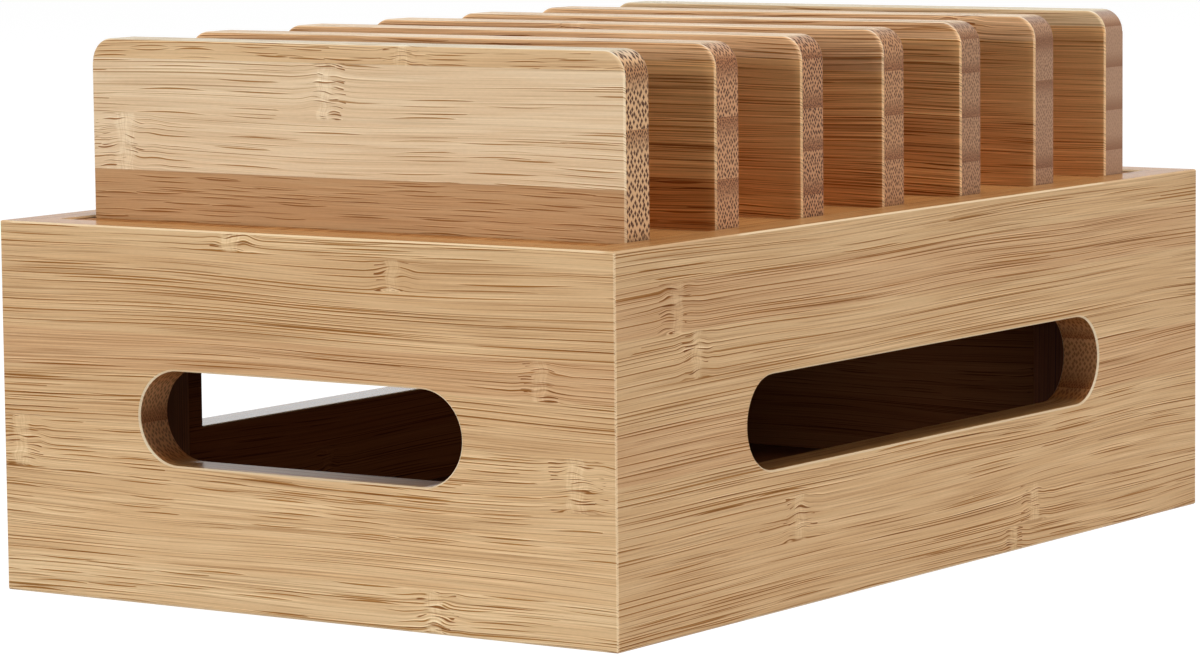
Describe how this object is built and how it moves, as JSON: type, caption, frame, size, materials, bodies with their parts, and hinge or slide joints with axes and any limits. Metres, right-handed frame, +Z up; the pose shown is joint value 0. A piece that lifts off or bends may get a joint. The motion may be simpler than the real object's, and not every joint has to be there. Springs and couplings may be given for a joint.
{
  "type": "charging station organizer",
  "caption": "Mitred bamboo box with round-ended hand slots, a rear cord opening and a lift-off lid that carries a row of upright dividers for phones and tablets.",
  "frame": {"origin": "centre of the box's underside, on the surface it stands on", "axes": "+X along the long side towards the plain end wall, -X the end wall with a hand slot, -Y the long front wall with a hand slot, +Y the rear wall with the cord opening, +Z up"},
  "size_m": [0.259, 0.1686, 0.1251],
  "materials": {
    "bamboo_wall": "clear matt lacquer on laminated bamboo",
    "bamboo_lid": "clear matt lacquer on laminated bamboo",
    "bamboo_divider": "clear matt lacquer on laminated bamboo",
    "bamboo_inner": "sanded bamboo",
    "screw_steel": "zinc plated"
  },
  "bodies": {
    "box": {"front_wall": "bamboo_wall", "rear_wall": "bamboo_wall", "left_wall": "bamboo_wall", "right_wall": "bamboo_wall", "floor_board": "bamboo_inner", "front_left_post": "bamboo_inner", "front_right_post": "bamboo_inner", "rear_left_post": "bamboo_inner", "rear_right_post": "bamboo_inner"},
    "lid": {"lid_board": "bamboo_lid", "divider_1": "bamboo_divider", "divider_2": "bamboo_divider", "divider_3": "bamboo_divider", "divider_4": "bamboo_divider", "divider_5": "bamboo_divider", "divider_6": "bamboo_divider", "divider_7": "bamboo_divider", "divider_screws": "screw_steel"}
  },
  "joints": [
    {"name": "lid_lift", "type": "slide", "parent": "box", "child": "lid", "axis": [0, 0, 1], "range_m": [0, 0.06]}
  ]
}
